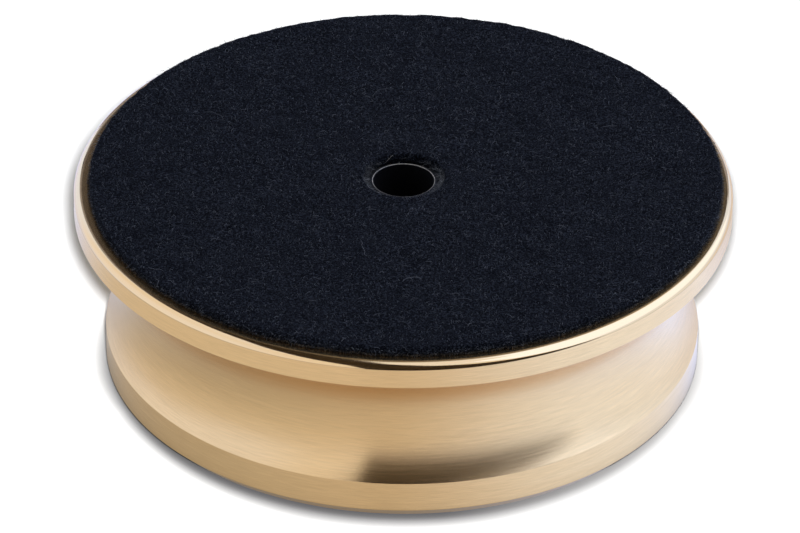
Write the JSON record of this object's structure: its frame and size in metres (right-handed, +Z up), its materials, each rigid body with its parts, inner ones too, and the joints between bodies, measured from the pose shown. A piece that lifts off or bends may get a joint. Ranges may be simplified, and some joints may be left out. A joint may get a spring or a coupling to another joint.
{
  "type": "record weight",
  "caption": "Turned brass record weight, felt side up: wide rim with a dark felt ring, concave waist for the fingers, smaller crown, and a lined blind bore for the turntable spindle.",
  "frame": {"origin": "centre of the crown's flat face, on which the weight lies upside down", "axes": "+Z up along the turning axis, out of the spindle bore's mouth; X and Y lie in the crown's face"},
  "size_m": [0.08, 0.08, 0.0258],
  "materials": {
    "brass": "satin, turned and brushed round the axis, with a polished rounded rim",
    "felt": "matte wool felt, near-black navy, with short loose fibres",
    "bush": "smooth black with a thin pale worn lip"
  },
  "bodies": {
    "root": {"weight_body": "brass", "felt_pad": "felt", "spindle_bush": "bush"}
  },
  "joints": []
}
